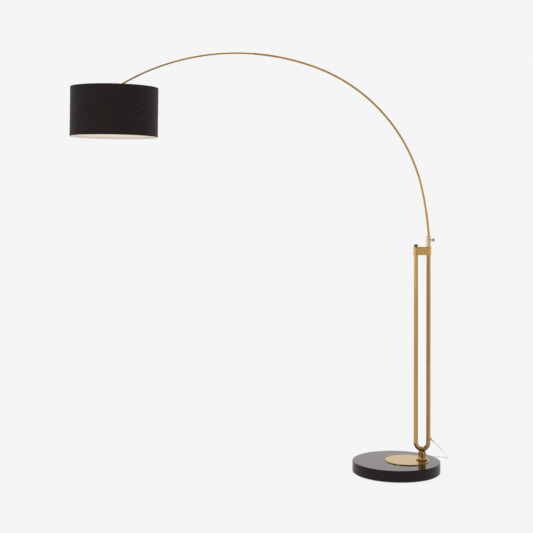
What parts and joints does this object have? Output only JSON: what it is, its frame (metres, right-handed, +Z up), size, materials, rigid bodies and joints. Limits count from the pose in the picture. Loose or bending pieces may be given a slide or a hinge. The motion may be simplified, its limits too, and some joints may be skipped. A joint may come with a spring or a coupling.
{
  "type": "arc floor lamp",
  "caption": "Arc floor lamp: round stone base, slender U-shaped tube column, curved adjustable arm on a clamped sleeve, and a drum shade on a tilting lampholder.",
  "frame": {"origin": "centre of the base's underside, on the floor", "axes": "+Z up; the arm reaches towards -X over the floor and the column stands on the +X side of the base; +Y is the back, where the mains lead is put away"},
  "size_m": [1.8015, 0.5027, 1.9482],
  "materials": {
    "stone": "polished black stone",
    "felt": "matt black felt",
    "plate_brass": "pale satin brass",
    "tube_brass": "satin antique brass",
    "sleeve_brass": "pale champagne brass",
    "dark_bronze": "dark bronze",
    "nickel": "satin nickel",
    "steel": "zinc-plated",
    "black_plastic": "satin black moulding",
    "white_plastic": "matt white moulding",
    "clear_cord": "clear PVC sheath",
    "ceramic": "glazed steatite",
    "bulb_glass": "opal glass",
    "shade_fabric": "matt black woven fabric",
    "shade_lining": "cream laminated lining",
    "white_wire": "white-lacquered wire"
  },
  "bodies": {
    "stand": {"base_felt": "felt", "base_stone": "stone", "base_washer": "steel", "base_nut": "steel", "base_stud": "steel", "brass_plate": "plate_brass", "foot_flange": "tube_brass", "foot_collar": "tube_brass", "u_frame": "tube_brass", "bridge": "tube_brass", "bridge_screws": "steel", "tube_cap": "dark_bronze", "sleeve": "sleeve_brass", "cord_bushing": "tube_brass", "strain_relief": "clear_cord", "mast_flex": "clear_cord", "mains_lead": "clear_cord", "foot_switch_base": "white_plastic", "foot_switch_cover": "white_plastic", "foot_switch_core": "black_plastic", "switch_lead": "clear_cord", "lead_coil": "clear_cord", "plug_lead": "clear_cord", "plug_body": "white_plastic", "plug_pins": "nickel"},
    "clamp_pad": {"screw_pad": "white_plastic"},
    "clamp_screw": {"thumbscrew": "nickel"},
    "swivel_bush": {"sleeve_bush": "white_plastic"},
    "arm": {"arm_tail": "tube_brass", "tail_guide": "black_plastic", "arm_bow": "tube_brass", "reach_collar": "dark_bronze", "arm_flex": "clear_cord"},
    "arm_end": {"arm_tip": "tube_brass", "tip_flex": "clear_cord", "knuckle_fork": "tube_brass", "knuckle_screw": "steel", "knuckle_nut": "steel"},
    "lamp_head": {"knuckle_tongue": "tube_brass", "lampholder_cap": "tube_brass", "lampholder_locknut": "steel", "lampholder_shell": "black_plastic", "lampholder_insert": "ceramic", "lampholder_contact": "steel", "lampholder_thread": "nickel", "bulb_cap": "nickel", "bulb_glass": "bulb_glass", "shade_ring_nut": "black_plastic", "shade_spider": "white_wire", "shade_bottom_ring": "white_wire", "shade_lining": "shade_lining", "shade_fabric": "shade_fabric"},
    "switch_button": {"foot_switch_button": "white_plastic"}
  },
  "joints": [
    {"name": "thumbscrew_travel", "type": "slide", "parent": "stand", "child": "clamp_pad", "axis": [1, 0, 0], "range_m": [0, 0.002]},
    {"name": "thumbscrew_turn", "type": "hinge", "parent": "clamp_pad", "child": "clamp_screw", "pos_m": [0.168, 0, 1.0775], "axis": [1, 0, 0], "range_deg": [0, 720]},
    {"name": "arm_swivel", "type": "hinge", "parent": "stand", "child": "swivel_bush", "pos_m": [0.1492, 0, 1.065], "axis": [0, 0, 1], "range_deg": [-180, 180]},
    {"name": "arm_height", "type": "slide", "parent": "swivel_bush", "child": "arm", "axis": [0, 0, 1], "range_m": [0, 0.15]},
    {"name": "arm_reach", "type": "hinge", "parent": "arm", "child": "arm_end", "pos_m": [-0.74277, 0, 0.88646], "axis": [0, -1, 0], "range_deg": [-7.5, 3.5]},
    {"name": "shade_tilt", "type": "hinge", "parent": "arm_end", "child": "lamp_head", "pos_m": [-1.31076, 0, 1.7793], "axis": [0, 1, 0], "range_deg": [-18, 30]},
    {"name": "foot_switch_press", "type": "slide", "parent": "stand", "child": "switch_button", "axis": [0, 0, -1], "range_m": [0, 0.003], "stiffness_N_per_m": 600, "springref_m": -0.001}
  ],
  "couplings": [
    {"joint": "thumbscrew_turn", "follows": "thumbscrew_travel", "rad_per_m": 6283.2}
  ]
}
